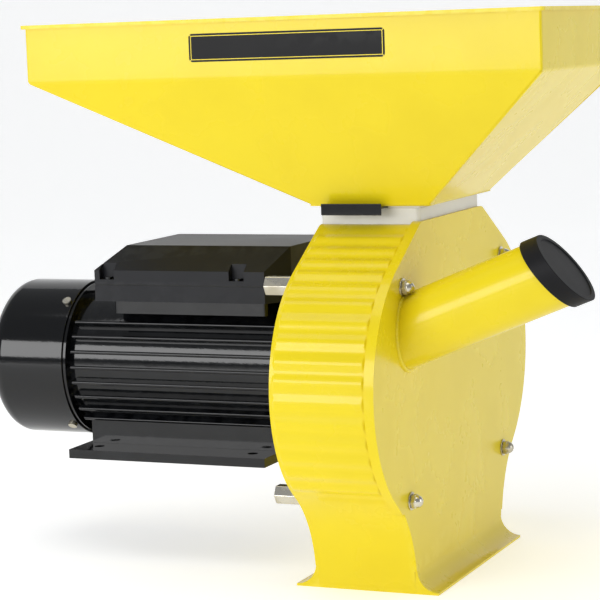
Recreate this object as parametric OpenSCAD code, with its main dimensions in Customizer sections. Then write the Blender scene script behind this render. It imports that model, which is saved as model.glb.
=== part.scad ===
/* [Milling chamber] */
// Depth of the chamber along the motor shaft, over both end plates
chamber_depth = 89.6; // [80:1:110]
// Height of the motor shaft above the base
axis_height = 171; // [160:1:205]
// Radius of the rounded flanks of the chamber
flank_r = 109; // [100:1:131]
// Distance of each flank centre from the middle plane
flank_offset = 81; // [76:1:98]
// Half width of the flat top of the chamber
top_half_width = 86; // [80:1:100]
// Height of the flat top above the base
chamber_height = 299.4; // [296:1:330]
// Half width of the open base
base_half_width = 108; // [100:1:125]
// Thickness of the end plates
plate_t = 2; // [1.5:0.1:3]
// Thickness of the wrapped band
band_t = 1.5; // [1:0.1:2.5]
// Height of the pressed ribs above the band
rib_height = 1.6; // [1:0.1:2.5]
// Depth of the turned rim of the front cover
rim_depth = 8.2; // [6:0.2:14]
// Reach of the flared base flange
flange_reach = 20; // [16:1:28]

/* [Feed hopper] */
// Length of the rim behind the chamber centre
hopper_rear = 292; // [260:1:350]
// Length of the rim in front of the chamber centre
hopper_front = 163; // [140:1:200]
// Half width of the rim
hopper_half_width = 118.3; // [100:1:142]
// Height of the straight band at the rim
hopper_band = 49.4; // [30:1:60]
// Height of the tapered part
hopper_taper = 106; // [88:1:128]
// Thickness of the hopper sheet
hopper_t = 1.2; // [0.8:0.1:2]

/* [Neck and shutter] */
// Half width of the neck across the shaft
neck_half_width = 73.3; // [70:1:76]
// Thickness of the neck walls
neck_t = 2; // [1.5:0.1:3]
// Height of the neck above the chamber
neck_height = 13.6; // [11:0.1:17]
// Width of the shutter plate
shutter_width = 53; // [46:1:56]
// Overhang of the shutter plate at each side
shutter_overhang = 15.5; // [13:0.5:19]
// Thickness of the shutter plate
shutter_t = 1.5; // [1.2:0.1:2]
// Height of the turned lips of the shutter plate
lip_height = 9.5; // [7:0.5:12]
// Rise of the lips above the shutter plate
lip_rise = 2.8; // [0:0.2:4]
// Width of one feed window along the slide
window_width = 8.5; // [6:0.5:10]

/* [Inlet tube] */
// Outer radius of the tube
tube_r = 28.9; // [24:0.1:35]
// Wall of the tube
tube_t = 1.6; // [1.2:0.1:2.5]
// Slope of the tube above the horizontal
tube_slope = 21.9; // [15:0.1:30]
// Length of the tube along its axis, from the cover to the middle of the mouth
tube_length = 139.2; // [115:0.1:168]
// Slant of the mouth
mouth_slant = 18.3; // [0:0.1:25]
// Distance of the tube axis from the middle plane, towards -Y
tube_offset = 110.5; // [92:0.5:114]
// Depth of the cap skirt
cap_depth = 15; // [12:1:20]
// Wall of the cap
cap_t = 2.2; // [1.5:0.1:3]

/* [Rotor] */
// Radius of the shaft in the chamber
shaft_r = 10; // [9:0.5:11.5]
// Radius of the rotor hub
hub_r = 17; // [15.5:0.5:20]
// Radius of the rotor discs
disc_r = 64; // [58:1:66]
// Thickness of a rotor disc
disc_t = 5; // [4:0.5:6]
// Distance of the hammer pins from the shaft axis
pin_circle_r = 50; // [46:1:54]
// Radius of a hammer pin
pin_r = 5; // [4:0.5:6]
// Reach of a hammer from its pin
hammer_reach = 48; // [42:1:51]
// Width of a hammer
hammer_width = 18; // [15:1:20]
// Thickness of a hammer
hammer_t = 3; // [2:0.5:4]
// Radius of the sieve
sieve_r = 109; // [104:1:112]
// Thickness of the sieve
sieve_t = 1.2; // [1:0.1:2]
// Radius of a sieve hole
sieve_hole_r = 4; // [2:0.5:5]

/* [Motor] */
// Radius of the plain motor barrel
barrel_r = 60; // [58:1:61]
// Height of the cooling fins
fin_height = 7.5; // [5:0.5:8]
// Length of the barrel with its fins
barrel_length = 222; // [200:1:250]
// Length of the front end shield
front_shield_length = 30; // [26:1:36]
// Radius of the fan cover
fan_cover_r = 70; // [69.6:0.1:76]
// Length of the fan cover
fan_cover_length = 76; // [64:1:90]
// Wall of the fan cover
fan_cover_t = 1.4; // [1:0.1:2]
// Length of the stator core
core_length = 96; // [80:1:110]

/* [Motor feet] */
// Length of a foot
foot_length = 190; // [160:1:205]
// Height of the underside of the feet
foot_height = 90.5; // [82:0.5:96]
// Thickness of a foot
foot_t = 8; // [6:0.5:10]
// Distance of the outer edge of a foot from the middle plane
foot_edge = 72; // [64:1:84]
// Distance of the foot web from the middle plane
web_offset = 29; // [26:1:32]
// Hole spacing along the shaft
foot_hole_x = 150; // [120:1:160]
// Hole spacing across the shaft
foot_hole_y = 104; // [96:1:112]
// Radius of a foot hole
foot_hole_r = 4.5; // [3.5:0.5:5.5]

/* [Terminal box] */
// Length of the box
box_length = 177; // [160:1:190]
// Half width of the box
box_half_width = 74.3; // [68:1:82]
// Half width of the flat top of the lid
lid_top_half_width = 50.9; // [44:1:56]
// Height of the box tray
tray_height = 14; // [12:0.5:18]
// Height of the straight wall of the lid
lid_wall = 12; // [10:0.5:16]
// Height of the sloping part of the lid
lid_slope = 19.7; // [16:0.5:26]
// Wall of the box and the lid
box_t = 2; // [1.5:0.1:3]

/* [Hidden] */

$fn = 96;
paint_yellow = "#f0d828";
neck_grey = "#c8c5be";
motor_black = "#15171a";
bare_steel = "#b9bcc0";
dark_steel = "#6d7074";
copper = "#b5693a";
plastic_black = "#202226";

// Running clearance of a bore on its pin
running_fit = 0.06;
// Gap between a moving face and a fixed one
slide_gap = 0.2;
// Overcut that keeps subtracted shapes clean
over = 1;

front_x = chamber_depth / 2;
rear_x = -chamber_depth / 2;
band_front_x = front_x - plate_t;
band_rear_x = rear_x + plate_t;

// Outline of the chamber, offset outwards by d, as points in the plane across the shaft
corner_r = 14;
flare_height = 5;
flare_lead = base_half_width - flank_offset;
flare_drop = axis_height - flare_height;
flare_r = (pow(flare_lead, 2) + pow(flare_drop, 2) - pow(flank_r, 2)) / (2 * (flank_r - flare_lead));
corner_y = top_half_width - corner_r;
corner_z = chamber_height - corner_r;
link = [flank_offset - corner_y, axis_height - corner_z];
link_length = norm(link);
shoulder_angle = atan2(link[1], link[0]) + acos((corner_r - flank_r) / link_length);
flare_angle = atan2(-flare_drop, flare_lead + flare_r);

function arc(y, z, r, from, to, steps) =
  [for (i = [0:steps]) let (a = from + (to - from) * i / steps) [y + r * cos(a), z + r * sin(a)]];
function half_outline(d) = concat(
  arc(corner_y, corner_z, corner_r + d, 90, shoulder_angle, 6),
  arc(flank_offset, axis_height, flank_r + d, shoulder_angle, flare_angle, 30),
  arc(base_half_width + flare_r, flare_height, flare_r - d, flare_angle + 180, 180, 12),
  [[base_half_width + d, 0]]);
function mirrored(points) = [for (i = [len(points) - 1:-1:0]) [-points[i][0], points[i][1]]];
function chamber_outline(d) = concat(half_outline(d), mirrored(half_outline(d)));

module along_x(from, to) {
  translate([from, 0, 0]) rotate([90, 0, 90]) linear_extrude(to - from) children();
}

module rod_x(from, to, r, y = 0, z = 0) {
  translate([from, y, z]) rotate([0, 90, 0]) cylinder(h = to - from, r = r);
}

module tube_x(from, to, r, bore) {
  difference() {
    rod_x(from, to, r);
    rod_x(from - over, to + over, bore);
  }
}

module hex_x(from, to, flats, y = 0, z = 0) {
  translate([from, y, z]) rotate([0, 90, 0]) cylinder(h = to - from, r = flats / sqrt(3), $fn = 6);
}

module block(low, high) {
  translate(low) cube(high - low);
}

module on_axis() {
  translate([0, 0, axis_height]) children();
}

// Tie rods
rod_r = 3;
rod_hole_r = 3.4;
upper_rod = flank_r * [0.391, 0.76];
lower_rod = flank_r * [0.336, -0.839];
rod_places = [for (s = [-1, 1]) for (rod = [upper_rod, lower_rod])
  [s * (flank_offset + rod[0]), axis_height + rod[1]]];
dome_flats = 11;
washer_r = 7.5;
washer_t = 1.2;
long_nut_flats = 15;
long_nut_length = 28;

module at_rods() {
  for (p = rod_places) translate([0, p[0], p[1]]) children();
}

// Rear spigot of the end plate and the motor flange
spigot_r = 34;
flange_bolt_circle = 46;
flange_bolt_r = 3;
flange_angles = [45, 135, 225, 315];

module at_flange_bolts() {
  on_axis() for (a = flange_angles)
    translate([0, flange_bolt_circle * cos(a), flange_bolt_circle * sin(a)]) children();
}

// Quarter-round flare that ends in the base flange, opening towards +X from a face at x = 0
module base_flare() {
  bend = flange_reach - plate_t;
  translate([0, base_half_width, 0]) rotate([90, 0, 0]) linear_extrude(2 * base_half_width)
    difference() {
      square([flange_reach, flange_reach]);
      translate([flange_reach, flange_reach]) circle(r = bend);
    }
}

module rear_plate() {
  color(paint_yellow) difference() {
    union() {
      difference() {
        along_x(rear_x, band_rear_x) polygon(chamber_outline(0));
        block([rear_x - over, -base_half_width - over, -over],
          [band_rear_x + over, base_half_width + over, flange_reach]);
      }
      translate([band_rear_x, 0, 0]) mirror([1, 0, 0]) base_flare();
    }
    on_axis() rod_x(rear_x - over, band_rear_x + over, spigot_r);
    at_rods() rod_x(rear_x - over, band_rear_x + over, rod_hole_r);
    at_flange_bolts() rod_x(rear_x - over, band_rear_x + over, flange_bolt_r);
  }
}

// Pressed ribs run along the shaft, spaced by angle round each flank
rib_r = 4;
rib_angles = [for (a = [-44:8.6:50]) a];
rib_end_gap = 2;
throat_half_width = neck_half_width - neck_t;
rim_gap = 0.6;
rim_rear_x = front_x - rim_depth;

module chamber_band() {
  rib_sink = rib_r - rib_height;
  color(paint_yellow) difference() {
    union() {
      along_x(band_rear_x, band_front_x) polygon(chamber_outline(0));
      for (s = [-1, 1]) for (a = rib_angles)
        rod_x(band_rear_x + rib_end_gap, rim_rear_x - rib_end_gap, rib_r,
          s * (flank_offset + (flank_r - rib_sink) * cos(a)), axis_height + (flank_r - rib_sink) * sin(a));
    }
    along_x(band_rear_x - over, band_front_x + over) polygon(chamber_outline(-band_t));
    block([band_rear_x - over, -base_half_width + band_t, -over],
      [band_front_x + over, base_half_width - band_t, over]);
    block([band_rear_x - over, -throat_half_width, chamber_height - 2 * band_t],
      [band_front_x - neck_t, throat_half_width, chamber_height + over]);
  }
}

// Each side of the rim stops at its own height above the base
rim_end_near = 72;
rim_end_far = 24;

module front_cover() {
  rim_d = rim_gap + plate_t;
  color(paint_yellow) difference() {
    union() {
      difference() {
        along_x(rim_rear_x, front_x) polygon(chamber_outline(rim_d));
        along_x(rim_rear_x - over, band_front_x) polygon(chamber_outline(rim_gap));
        block([rim_rear_x - over, -2 * flank_r - flank_offset, -over], [front_x + over, 0, rim_end_near]);
        block([rim_rear_x - over, 0, -over], [front_x + over, 2 * flank_r + flank_offset, rim_end_far]);
      }
      difference() {
        along_x(band_front_x, front_x) polygon(chamber_outline(0));
        block([band_front_x - over, -base_half_width - over, -over],
          [front_x + over, base_half_width + over, flange_reach]);
      }
      translate([band_front_x, 0, 0]) base_flare();
    }
    at_rods() rod_x(band_front_x - over, front_x + over, rod_hole_r);
    tube_place() cylinder(h = 4 * tube_r, r = tube_r, center = true);
  }
}

// The tube axis starts on the outer face of the cover, just below an upper tie rod, and rises by tube_slope
rod_to_tube = 5.7;
tube_height = axis_height + upper_rod[1] - rod_to_tube - tube_r / cos(tube_slope);

module tube_place() {
  translate([front_x, -tube_offset, tube_height]) rotate([0, 90 - tube_slope, 0]) children();
}

// A slab across the tube axis, tilted by the slant of the mouth
module mouth_slab(from, to) {
  translate([0, 0, from]) rotate([0, -mouth_slant, 0])
    translate([-6 * tube_r, -6 * tube_r, 0]) cube([12 * tube_r, 12 * tube_r, (to - from) * cos(mouth_slant)]);
}

module inlet_tube() {
  color(paint_yellow) difference() {
    tube_place() difference() {
      translate([0, 0, -tube_r]) cylinder(h = tube_length + 2 * tube_r, r = tube_r);
      translate([0, 0, -tube_r - over]) cylinder(h = tube_length + 3 * tube_r, r = tube_r - tube_t);
      mouth_slab(tube_length, tube_length + 3 * tube_r);
    }
    block([-3 * tube_r, -tube_offset - 2 * tube_r, tube_height - 4 * tube_r],
      [band_front_x, -tube_offset + 2 * tube_r, tube_height + 2 * tube_r]);
  }
}

cap_fit = 0.3;

module inlet_cap() {
  cap_start = tube_length + slide_gap + cap_t - cap_depth;
  color(plastic_black) tube_place() intersection() {
    difference() {
      cylinder(h = tube_length + 2 * tube_r, r = tube_r + cap_fit + cap_t);
      intersection() {
        translate([0, 0, -over]) cylinder(h = tube_length + 2 * tube_r, r = tube_r + cap_fit);
        mouth_slab(-2 * tube_r, tube_length + slide_gap);
      }
    }
    mouth_slab(cap_start, cap_start + cap_depth);
  }
}

module tie_rods() {
  color(bare_steel) at_rods()
    rod_x(rear_x - long_nut_length - 2, front_x + washer_t + 6, rod_r);
}

module dome_nuts() {
  nut_x = front_x + washer_t;
  color(bare_steel) at_rods() difference() {
    union() {
      hex_x(nut_x, nut_x + 4, dome_flats);
      translate([nut_x + 4, 0, 0]) intersection() {
        sphere(r = dome_flats / 2);
        block([0, -dome_flats, -dome_flats], [dome_flats, dome_flats, dome_flats]);
      }
    }
    rod_x(nut_x - over, front_x + washer_t + 6, rod_r);
  }
}

module cover_washers() {
  color(bare_steel) at_rods() tube_x(front_x, front_x + washer_t, washer_r, rod_hole_r);
}

module rear_nuts() {
  color(bare_steel) at_rods() difference() {
    hex_x(rear_x - long_nut_length, rear_x, long_nut_flats);
    rod_x(rear_x - long_nut_length - over, rear_x + over, rod_r);
  }
}

// The sieve wraps the lower part of the rotor space, open over the angle facing the neck and the inlet tube
sieve_from = -184;
sieve_to = 25;
sieve_x = band_front_x - slide_gap;

module pie(r, from, to) {
  steps = 16;
  polygon(concat([[0, 0]], arc(0, 0, r, from, to, steps)));
}

module arc_strip(from_x, to_x, r, t, from, to) {
  intersection() {
    tube_x(from_x, to_x, r + t, r);
    along_x(from_x - over, to_x + over) pie(3 * r, from, to);
  }
}

module sieve_screen() {
  hole_step = 12;
  color(bare_steel) on_axis() difference() {
    arc_strip(-sieve_x, sieve_x, sieve_r, sieve_t, sieve_from, sieve_to);
    for (a = [sieve_from + hole_step:hole_step:sieve_to - hole_step / 2]) for (x = [-24, 0, 24])
      translate([x, 0, 0]) rotate([a - 90, 0, 0])
        translate([0, 0, sieve_r - over]) cylinder(h = sieve_t + 2 * over, r = sieve_hole_r, $fn = 24);
  }
}

// Two curved rails on each end plate hold the rims of the sieve
module sieve_rails() {
  rail_t = 3;
  rail_depth = 6;
  color(dark_steel) on_axis() for (from_x = [band_rear_x, band_front_x - rail_depth])
    arc_strip(from_x, from_x + rail_depth, sieve_r + sieve_t, rail_t, sieve_from, sieve_to);
}

// Stack of the neck, the shutter and the hopper floor
neck_top = chamber_height + neck_height;
neck_front_x = front_x - plate_t;
shutter_low = neck_top + slide_gap;
shutter_high = shutter_low + shutter_t;
hopper_floor = shutter_high + slide_gap;
shutter_low_x = rear_x + 6.8;
shutter_high_x = shutter_low_x + shutter_width;
window_pitch = 3 * window_width;
window_margin = 7;
window_places = [-2:2];

// Row of feed windows, moved along the slide
module windows(shift, low, high) {
  for (i = window_places) {
    y = i * window_pitch + shift;
    block([shutter_low_x + window_margin, y - window_width / 2, low],
      [shutter_high_x - window_margin, y + window_width / 2, high]);
  }
}

bolt_r = 1.5;
bolt_y = neck_half_width - 8;
bolt_places_x = [shutter_low_x - slide_gap - 2 * bolt_r, neck_front_x - neck_t - 3 * bolt_r];

module at_hopper_bolts() {
  for (x = bolt_places_x) for (y = [-bolt_y, bolt_y]) translate([x, y, 0]) children();
}

module neck() {
  rim_top = chamber_height + rim_gap + plate_t;
  color(neck_grey) difference() {
    block([rear_x, -neck_half_width, chamber_height], [neck_front_x, neck_half_width, neck_top]);
    block([rear_x + neck_t, -throat_half_width, chamber_height - over],
      [neck_front_x - neck_t, throat_half_width, neck_top - neck_t]);
    block([rim_rear_x - slide_gap, -neck_half_width - over, chamber_height - over],
      [neck_front_x + over, neck_half_width + over, rim_top]);
    windows(0, neck_top - neck_t - over, neck_top + over);
    at_hopper_bolts() translate([0, 0, neck_top - neck_t - over]) cylinder(h = neck_t + 2 * over, r = bolt_r);
  }
}

// Two flat strips beside the shutter plate carry the hopper and guide the plate
module shutter_guides() {
  color(neck_grey) difference() {
    union() {
      block([rear_x, -neck_half_width, neck_top],
        [shutter_low_x - slide_gap, neck_half_width, hopper_floor]);
      block([shutter_high_x + slide_gap, -neck_half_width, neck_top],
        [neck_front_x, neck_half_width, hopper_floor]);
    }
    at_hopper_bolts() translate([0, 0, neck_top - over]) cylinder(h = 3 * shutter_t, r = bolt_r);
  }
}

shutter_end = neck_half_width + shutter_overhang;

module shutter_plate() {
  color(plastic_black) difference() {
    union() {
      block([shutter_low_x, -shutter_end, shutter_low], [shutter_high_x, shutter_end, shutter_high]);
      for (y = [-shutter_end, shutter_end - shutter_t])
        block([shutter_low_x, y, shutter_high + lip_rise - lip_height],
          [shutter_high_x, y + shutter_t, shutter_high + lip_rise]);
    }
    windows(window_width, shutter_low - over, shutter_high + over);
  }
}

// Hopper: a tapered funnel under a straight band, made of folded sheet
funnel_rear = rear_x - 7.7;
funnel_front = front_x + 8.4;
funnel_half_width = neck_half_width + 3.9;
taper_low = hopper_floor + hopper_t;
taper_high = taper_low + hopper_taper;
hopper_top = taper_high + hopper_band;

// Solid of the tapered part; the inner one is drawn in by the sheet, measured across each sloping wall
module funnel_solid(inset) {
  rear_in = inset * norm([1, (hopper_rear + funnel_rear) / hopper_taper]);
  front_in = inset * norm([1, (hopper_front - funnel_front) / hopper_taper]);
  side_in = inset * norm([1, (hopper_half_width - funnel_half_width) / hopper_taper]);
  intersection() {
    translate([0, 2 * hopper_half_width, 0]) rotate([90, 0, 0]) linear_extrude(4 * hopper_half_width)
      polygon([[funnel_rear + rear_in, taper_low], [funnel_front - front_in, taper_low],
        [hopper_front - front_in, taper_high], [-hopper_rear + rear_in, taper_high]]);
    along_x(-2 * hopper_rear, 2 * hopper_front) polygon([
      for (s = [-1, 1]) [s * (funnel_half_width - side_in), taper_low],
      for (s = [1, -1]) [s * (hopper_half_width - side_in), taper_high]]);
  }
}

module hopper() {
  lip = 2;
  color(paint_yellow) difference() {
    union() {
      block([funnel_rear, -funnel_half_width, hopper_floor], [funnel_front, funnel_half_width, taper_low]);
      funnel_solid(0);
      block([-hopper_rear, -hopper_half_width, taper_high], [hopper_front, hopper_half_width, hopper_top]);
      block([-hopper_rear - lip, -hopper_half_width - lip, hopper_top - lip],
        [hopper_front + lip, hopper_half_width + lip, hopper_top]);
    }
    funnel_solid(hopper_t);
    block([-hopper_rear + hopper_t, -hopper_half_width + hopper_t, taper_high - 0.01],
      [hopper_front - hopper_t, hopper_half_width - hopper_t, hopper_top + over]);
    windows(0, hopper_floor - over, taper_low + over);
    at_hopper_bolts() translate([0, 0, hopper_floor - over]) cylinder(h = hopper_t + 2 * over, r = bolt_r);
  }
}

module hopper_bolts() {
  head_h = 2.4;
  tip_z = neck_top - neck_t - 2;
  color(bare_steel) at_hopper_bolts() {
    translate([0, 0, tip_z]) cylinder(h = taper_low - tip_z, r = bolt_r);
    translate([0, 0, taper_low]) cylinder(h = head_h, r = 2 * bolt_r);
  }
}

// Motor stations along the shaft, from the chamber backwards
shield_front_x = rear_x;
barrel_front_x = shield_front_x - front_shield_length;
barrel_rear_x = barrel_front_x - barrel_length;
rear_shield_t = 16;
rear_shield_x = barrel_rear_x - rear_shield_t;
fan_cover_front_x = barrel_rear_x - 3;
fan_cover_rear_x = fan_cover_front_x - fan_cover_length;
core_front_x = (barrel_front_x + barrel_rear_x + core_length) / 2;
core_rear_x = core_front_x - core_length;
motor_shaft_r = 12;
core_r = barrel_r - 3;
rotor_core_r = 38;
air_gap = 0.6;
winding_length = 26;
bearing_r = 26;
bearing_width = 15;
front_bearing_x = shield_front_x - 3 - bearing_width;
rear_bearing_x = rear_shield_x + 3;
fan_rear_x = rear_shield_x - 8 - 24;

// Rotor stations in the chamber
rear_disc_x = rear_x + 14.8;
front_disc_x = front_x - 26.8;
rotor_front_x = front_disc_x + disc_t;
shaft_end_x = rotor_front_x + 14;
key_width = 5;
key_height = 3;

module motor_shaft() {
  color(bare_steel) on_axis() difference() {
    union() {
      rod_x(fan_rear_x - 4, shield_front_x - 1, motor_shaft_r);
      rod_x(shield_front_x - 1, shaft_end_x, shaft_r);
    }
    block([rear_disc_x, -key_width / 2, shaft_r - key_height],
      [rotor_front_x, key_width / 2, shaft_r + over]);
  }
}

module shaft_key() {
  color(dark_steel) on_axis()
    block([rear_disc_x, -key_width / 2, shaft_r - key_height],
      [rotor_front_x, key_width / 2, shaft_r + key_height]);
}

module key_slot() {
  block([rear_disc_x - over, -key_width / 2, 0],
    [rotor_front_x + over, key_width / 2, shaft_r + key_height]);
}

module rotor_hub() {
  color(dark_steel) on_axis() difference() {
    rod_x(rear_disc_x, rotor_front_x, hub_r);
    rod_x(rear_disc_x - over, rotor_front_x + over, shaft_r);
    key_slot();
  }
}

// Hammer pins a to d sit at 45 degrees to the vertical, in order round the shaft
pin_angles = [45, 135, 225, 315];

module at_pin(i) {
  on_axis() translate([0, pin_circle_r * cos(pin_angles[i]), pin_circle_r * sin(pin_angles[i])]) children();
}

module rotor_discs() {
  color(dark_steel) difference() {
    on_axis() for (x = [rear_disc_x, front_disc_x]) tube_x(x, x + disc_t, disc_r, hub_r);
    for (i = [0:3]) at_pin(i) rod_x(rear_disc_x - over, rotor_front_x + over, pin_r);
  }
}

pin_end = 4;

module hammer_pins() {
  color(bare_steel) for (i = [0:3]) at_pin(i) rod_x(rear_disc_x - pin_end, rotor_front_x + pin_end, pin_r);
}

// Hammers of one gang, centred between the discs, with spacers on the pin between them
gap_low = rear_disc_x + disc_t;
gap_high = front_disc_x;
gang_pitch = 0.28 * (gap_high - gap_low);
gang_count = 3;
gang_middle = (gap_low + gap_high) / 2;
gang_stagger = gang_pitch / 4;
spacer_r = 8;

// Rear face of hammer k on pin i; neighbouring pins are staggered so that their hammers pass each other
function gang_x(i, k) = gang_middle + (k - (gang_count - 1) / 2) * gang_pitch - hammer_t / 2
  + (i % 2 == 0 ? gang_stagger : -gang_stagger);
function spacer_ends(i) = [gap_low, for (k = [0:gang_count - 1])
  each [gang_x(i, k) - slide_gap, gang_x(i, k) + hammer_t + slide_gap], gap_high];

module pin_spacers() {
  color(bare_steel) for (i = [0:3]) at_pin(i)
    for (k = [0:gang_count]) tube_x(spacer_ends(i)[2 * k], spacer_ends(i)[2 * k + 1], spacer_r, pin_r);
}

module pin_clips() {
  ring_t = 1.2;
  color(bare_steel) for (i = [0:3]) at_pin(i) for (x = [rear_disc_x - ring_t, rotor_front_x])
    tube_x(x, x + ring_t, pin_r + 2.5, pin_r);
}

module shaft_nut() {
  washer_h = 2;
  nut_h = 9;
  color(bare_steel) on_axis() difference() {
    union() {
      rod_x(rotor_front_x, rotor_front_x + washer_h, hub_r);
      hex_x(rotor_front_x + washer_h, rotor_front_x + washer_h + nut_h, 26);
    }
    rod_x(rotor_front_x - over, rotor_front_x + washer_h + nut_h + over, shaft_r);
  }
}

// A gang hangs straight down from its pin
module hammer_gang(i) {
  half = hammer_width / 2;
  color(dark_steel) at_pin(i) for (k = [0:gang_count - 1]) difference() {
    union() {
      rod_x(gang_x(i, k), gang_x(i, k) + hammer_t, half);
      block([gang_x(i, k), -half, -hammer_reach], [gang_x(i, k) + hammer_t, half, 0]);
    }
    rod_x(gang_x(i, k) - over, gang_x(i, k) + hammer_t + over, pin_r + running_fit);
  }
}

module hammers_a() { hammer_gang(0); }
module hammers_b() { hammer_gang(1); }
module hammers_c() { hammer_gang(2); }
module hammers_d() { hammer_gang(3); }

// Terminal box stations
box_front_x = barrel_front_x - 8.2;
box_rear_x = box_front_x - box_length;
tray_low = axis_height + barrel_r + 0.7;
tray_high = tray_low + tray_height;
gasket_t = 1;
lid_low = tray_high + gasket_t;
lid_shoulder = lid_low + lid_wall;
lid_top = lid_shoulder + lid_slope;
box_chamfer_x = 15;
box_chamfer_y = box_half_width - lid_top_half_width;
lid_rear_run = 20.8;
pad_half_width = barrel_r;
pad_low = tray_low - 12.5;
pad_rear_x = box_rear_x + 10;
pad_front_x = box_front_x - 20;

// Plan of the box, drawn in by d on every side
module box_plan(d) {
  front = box_front_x - d;
  rear = box_rear_x + d;
  half = box_half_width - d;
  chamfer_y = half - box_chamfer_y;
  polygon([[rear, -half], [front - box_chamfer_x, -half], [front, -chamfer_y],
    [front, chamfer_y], [front - box_chamfer_x, half], [rear, half]]);
}

module motor_barrel() {
  fin_t = 3.2;
  fin_angles = [for (a = [-96:12:36]) if (abs(a + 60) > 9) a];
  color(motor_black) on_axis() difference() {
    union() {
      rod_x(barrel_rear_x, barrel_front_x, barrel_r);
      for (s = [0, 1]) mirror([0, s, 0]) for (a = fin_angles) rotate([a, 0, 0])
        block([barrel_rear_x + 4, barrel_r - 2, -fin_t / 2],
          [barrel_front_x - 4, barrel_r + fin_height, fin_t / 2]);
      block([pad_rear_x, -pad_half_width, pad_low - axis_height],
        [pad_front_x, pad_half_width, tray_low - axis_height]);
    }
    rod_x(barrel_rear_x - over, barrel_front_x + over, core_r);
  }
}

module front_shield() {
  shield_flange_r = 56;
  color(motor_black) difference() {
    on_axis() union() {
      rod_x(barrel_front_x, barrel_front_x + 12, barrel_r + 2);
      rod_x(barrel_front_x - 4, barrel_front_x, core_r);
      rod_x(barrel_front_x + 12, shield_front_x - 8, bearing_r + 12);
      rod_x(shield_front_x - 8, shield_front_x, shield_flange_r);
      rod_x(shield_front_x, band_rear_x, spigot_r);
    }
    on_axis() {
      rod_x(barrel_front_x - 5, front_bearing_x, bearing_r + 6);
      rod_x(front_bearing_x - over, front_bearing_x + bearing_width, bearing_r);
      rod_x(front_bearing_x, band_rear_x + over, motor_shaft_r + 1);
    }
    at_flange_bolts() rod_x(shield_front_x - 8 - over, shield_front_x + over, flange_bolt_r);
  }
}

module rear_shield() {
  color(motor_black) on_axis() difference() {
    union() {
      rod_x(rear_shield_x, barrel_rear_x, fan_cover_r - fan_cover_t - slide_gap);
      rod_x(barrel_rear_x, barrel_rear_x + 4, core_r);
    }
    rod_x(rear_bearing_x + bearing_width, barrel_rear_x + 5, bearing_r + 14);
    rod_x(rear_bearing_x, rear_bearing_x + bearing_width + over, bearing_r);
    rod_x(rear_shield_x - over, rear_bearing_x + over, motor_shaft_r + 1);
    for (a = screw_angles) rotate([a, 0, 0])
      translate([screw_x, 0, fan_cover_r - 8]) cylinder(h = 8, r = screw_r);
  }
}

module shield_bolts() {
  color(bare_steel) at_flange_bolts() {
    rod_x(shield_front_x - 8, band_rear_x + 5, flange_bolt_r);
    hex_x(shield_front_x - 12, shield_front_x - 8, 10);
    hex_x(band_rear_x, band_rear_x + 4, 10);
  }
}

module stator_core() {
  color(dark_steel) on_axis() tube_x(core_rear_x, core_front_x, core_r, rotor_core_r + air_gap);
}

module stator_windings() {
  color(copper) on_axis() for (x = [core_rear_x - winding_length, core_front_x])
    tube_x(x, x + winding_length, core_r - 3, rotor_core_r + 3);
}

module rotor_core() {
  color(bare_steel) on_axis() tube_x(core_rear_x, core_front_x, rotor_core_r, motor_shaft_r);
}

module front_bearing() {
  color(bare_steel) on_axis()
    tube_x(front_bearing_x, front_bearing_x + bearing_width, bearing_r, motor_shaft_r + running_fit);
}

module rear_bearing() {
  color(bare_steel) on_axis()
    tube_x(rear_bearing_x, rear_bearing_x + bearing_width, bearing_r, motor_shaft_r + running_fit);
}

module cooling_fan() {
  fan_r = fan_cover_r - 10;
  color(plastic_black) on_axis() difference() {
    union() {
      rod_x(fan_rear_x, fan_rear_x + 24, 20);
      rod_x(fan_rear_x + 22, fan_rear_x + 24, fan_r);
      for (a = [0:45:315]) rotate([a, 0, 0]) block([fan_rear_x + 4, -1, 18], [fan_rear_x + 23, 1, fan_r]);
    }
    rod_x(fan_rear_x - over, fan_rear_x + 25, motor_shaft_r);
  }
}

// Fan cover: a drawn shell with a rounded end and radial slots
dome_r = 15;
screw_angles = [38, 142, 218, 322];
screw_x = fan_cover_front_x - 6;
screw_r = 2;

module cover_profile(inset) {
  r = fan_cover_r - inset;
  length = fan_cover_length - inset;
  polygon(concat([[0, -(inset > 0 ? over : 0)], [r, -(inset > 0 ? over : 0)]],
    arc(r - dome_r + inset, length - dome_r + inset, dome_r - inset, 0, 90, 10), [[0, length]]));
}

module fan_cover() {
  color(motor_black) on_axis() difference() {
    translate([fan_cover_front_x, 0, 0]) rotate([0, -90, 0]) rotate_extrude() difference() {
      cover_profile(0);
      cover_profile(fan_cover_t);
    }
    for (a = [0:20:340]) rotate([a, 0, 0])
      block([fan_cover_rear_x - over, -2, 20],
        [fan_cover_rear_x + 2 * fan_cover_t, 2, fan_cover_r - dome_r - 2]);
    for (a = screw_angles) rotate([a, 0, 0])
      translate([screw_x, 0, fan_cover_r - 5]) cylinder(h = 8, r = screw_r);
  }
}

module fan_cover_screws() {
  color(bare_steel) on_axis() for (a = screw_angles) rotate([a, 0, 0])
    translate([screw_x, 0, fan_cover_r - 8]) {
      cylinder(h = 8, r = screw_r);
      translate([0, 0, 8]) cylinder(h = 2.2, r = 2 * screw_r);
    }
}

// Feet: a plate outside a web on each side, cut to the barrel
foot_front_x = barrel_front_x - 30.2;
foot_rear_x = foot_front_x - foot_length;
foot_middle_x = (foot_front_x + foot_rear_x) / 2;

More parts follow.
